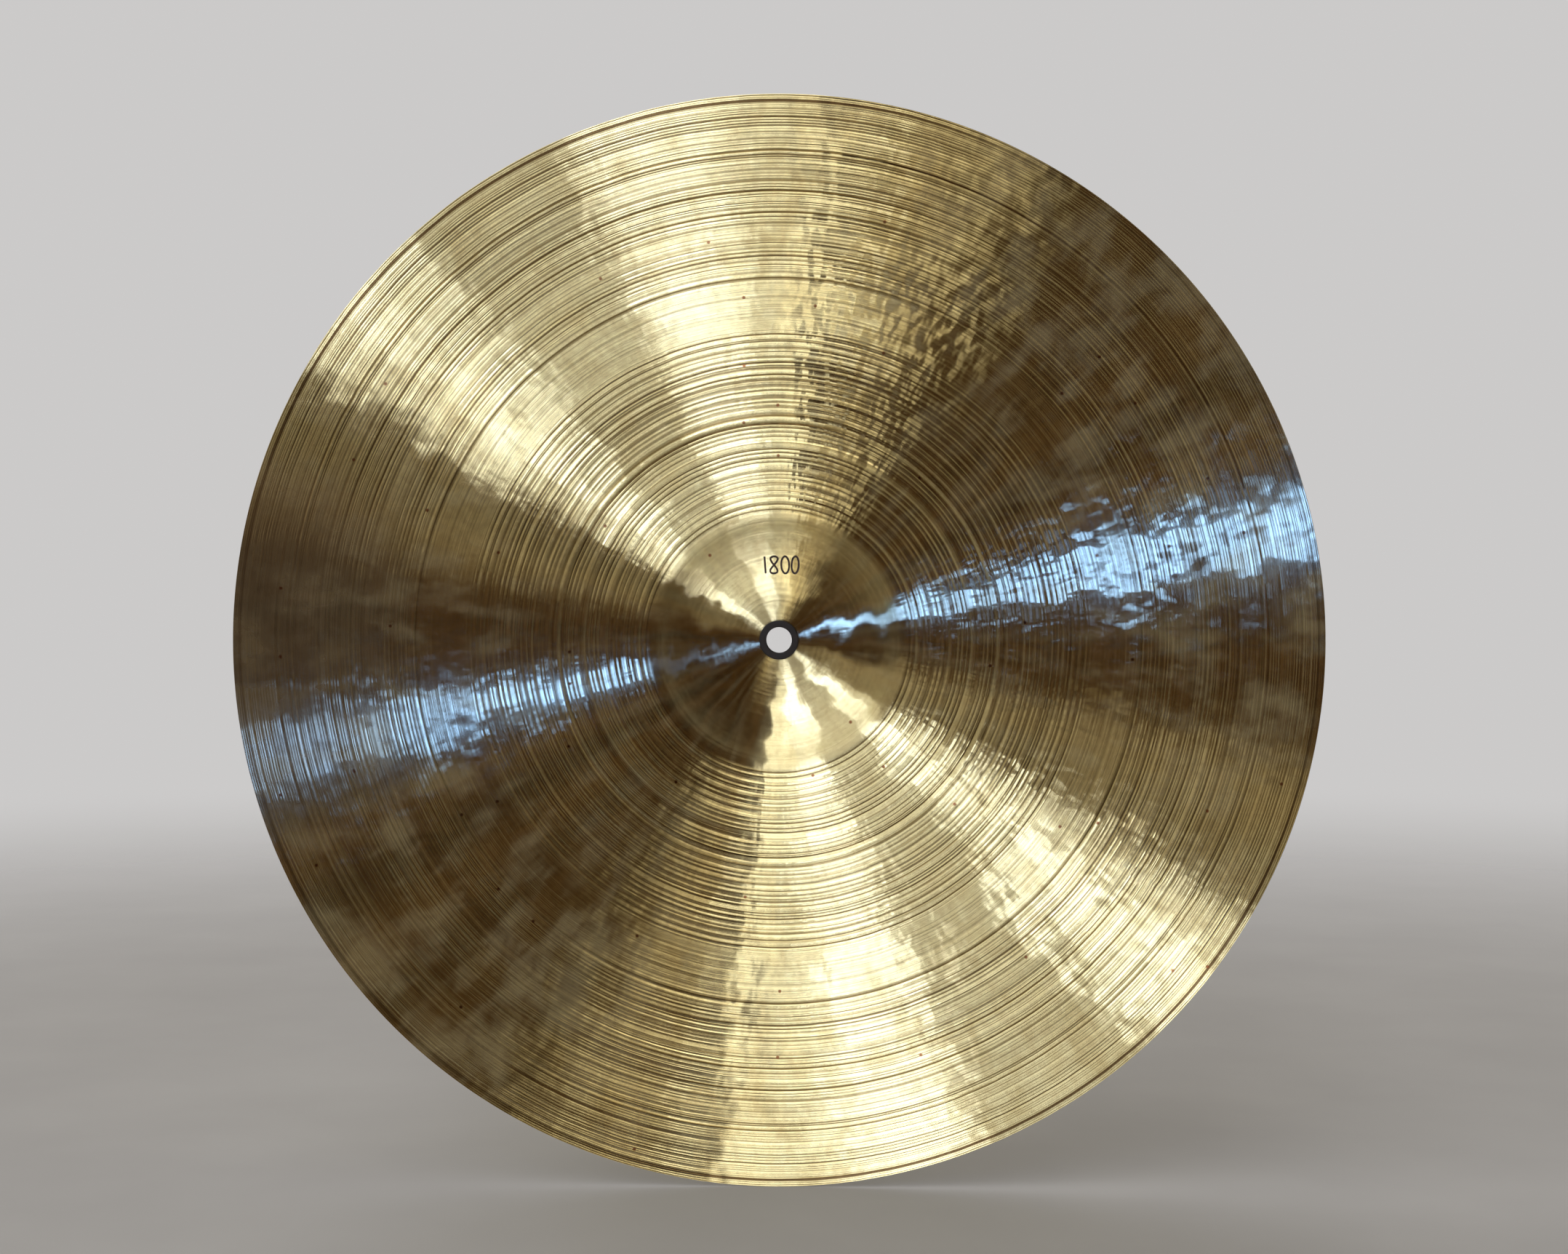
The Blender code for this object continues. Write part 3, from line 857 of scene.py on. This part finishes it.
# %% Lay the ribbons
def ribbon(points, width):
    """Extrudes an edge of the pen's width along the points, in the mesh that is being edited."""
    places = [Vector((x * MM, 0.0, z * MM)) for x, z in points]
    ahead = places[1:] + [2 * places[-1] - places[-2]]
    behind = [2 * places[0] - places[1]] + places[:-1]
    headings = [math.atan2((a - b).z, (a - b).x) for a, b in zip(ahead, behind)]
    side = Vector((-math.sin(headings[0]), 0.0, math.cos(headings[0]))) * width
    bpy.ops.mesh.primitive_plane_add(size=MM)
    bpy.ops.mesh.merge(type="CENTER")
    bpy.ops.transform.translate(value=places[0] - side / 2)
    bpy.ops.mesh.extrude_region_move(TRANSFORM_OT_translate={"value": side})
    bpy.ops.mesh.select_linked()
    for step in range(1, len(places)):
        bpy.ops.mesh.extrude_region_move(TRANSFORM_OT_translate={"value": places[step] - places[step - 1]})
        bend = math.remainder(headings[step] - headings[step - 1], 2 * math.pi)
        bpy.ops.transform.rotate(value=bend, orient_axis="Y", center_override=places[step])


bpy.ops.object.select_all(action="DESELECT")
bpy.ops.mesh.primitive_plane_add(size=MM)
mark = bpy.context.active_object
mark.name = "inked_weight"
mark.data.name = "inked_weight"
bpy.ops.object.mode_set(mode="EDIT")
bpy.ops.mesh.select_all(action="SELECT")
bpy.ops.mesh.delete(type="VERT")
for points in strokes:
    ribbon(points, PEN_WIDTH)
bpy.ops.mesh.select_all(action="SELECT")
bpy.ops.transform.translate(value=MARK_CENTRE)
bpy.ops.mesh.normals_make_consistent(inside=False)
bpy.ops.object.mode_set(mode="OBJECT")
bpy.ops.object.modifier_add(type="SHRINKWRAP")
onto = mark.modifiers[-1]
onto.target = sheet
onto.wrap_method = "PROJECT"
onto.use_project_y = True
bpy.ops.object.modifier_apply(modifier=onto.name)
bpy.ops.object.modifier_add(type="SOLIDIFY")
film = mark.modifiers[-1]
film.thickness = 2 * INK_FILM
film.offset = 0.0
bpy.ops.object.modifier_apply(modifier=film.name)
low_point = min(vertex.co.y for vertex in mark.data.vertices)
print("mark:", len(mark.data.polygons), "faces, from", round(low_point / MM, 2), "mm along the axis")

# %% [markdown]
# ## The ink's look
# Marker ink is dark and dull. A fine noise makes it paler in spots.

# %% Mix the ink
INK_DARK, INK_PALE = (0.020, 0.011, 0.010, 1.0), (0.085, 0.050, 0.035, 1.0)
ink = bpy.data.materials.new("marker_ink")
ink.use_nodes = True
pen = Graph(ink.node_tree)
spot = pen.node("TexCoord").outputs["Object"]
faded = pen.remap(pen.noise(spot, 700.0, 3.0, 0.6), 0.35, 0.7)
tone = pen.mix(faded, INK_DARK, INK_PALE)
written = pen.node("BsdfPrincipled", {"Base Color": tone, "Roughness": 0.55})
pen.node("OutputMaterial", {"Surface": written.outputs[0]})
mark.data.materials.append(ink)
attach(mark, "root")
print("ink on", mark.name)
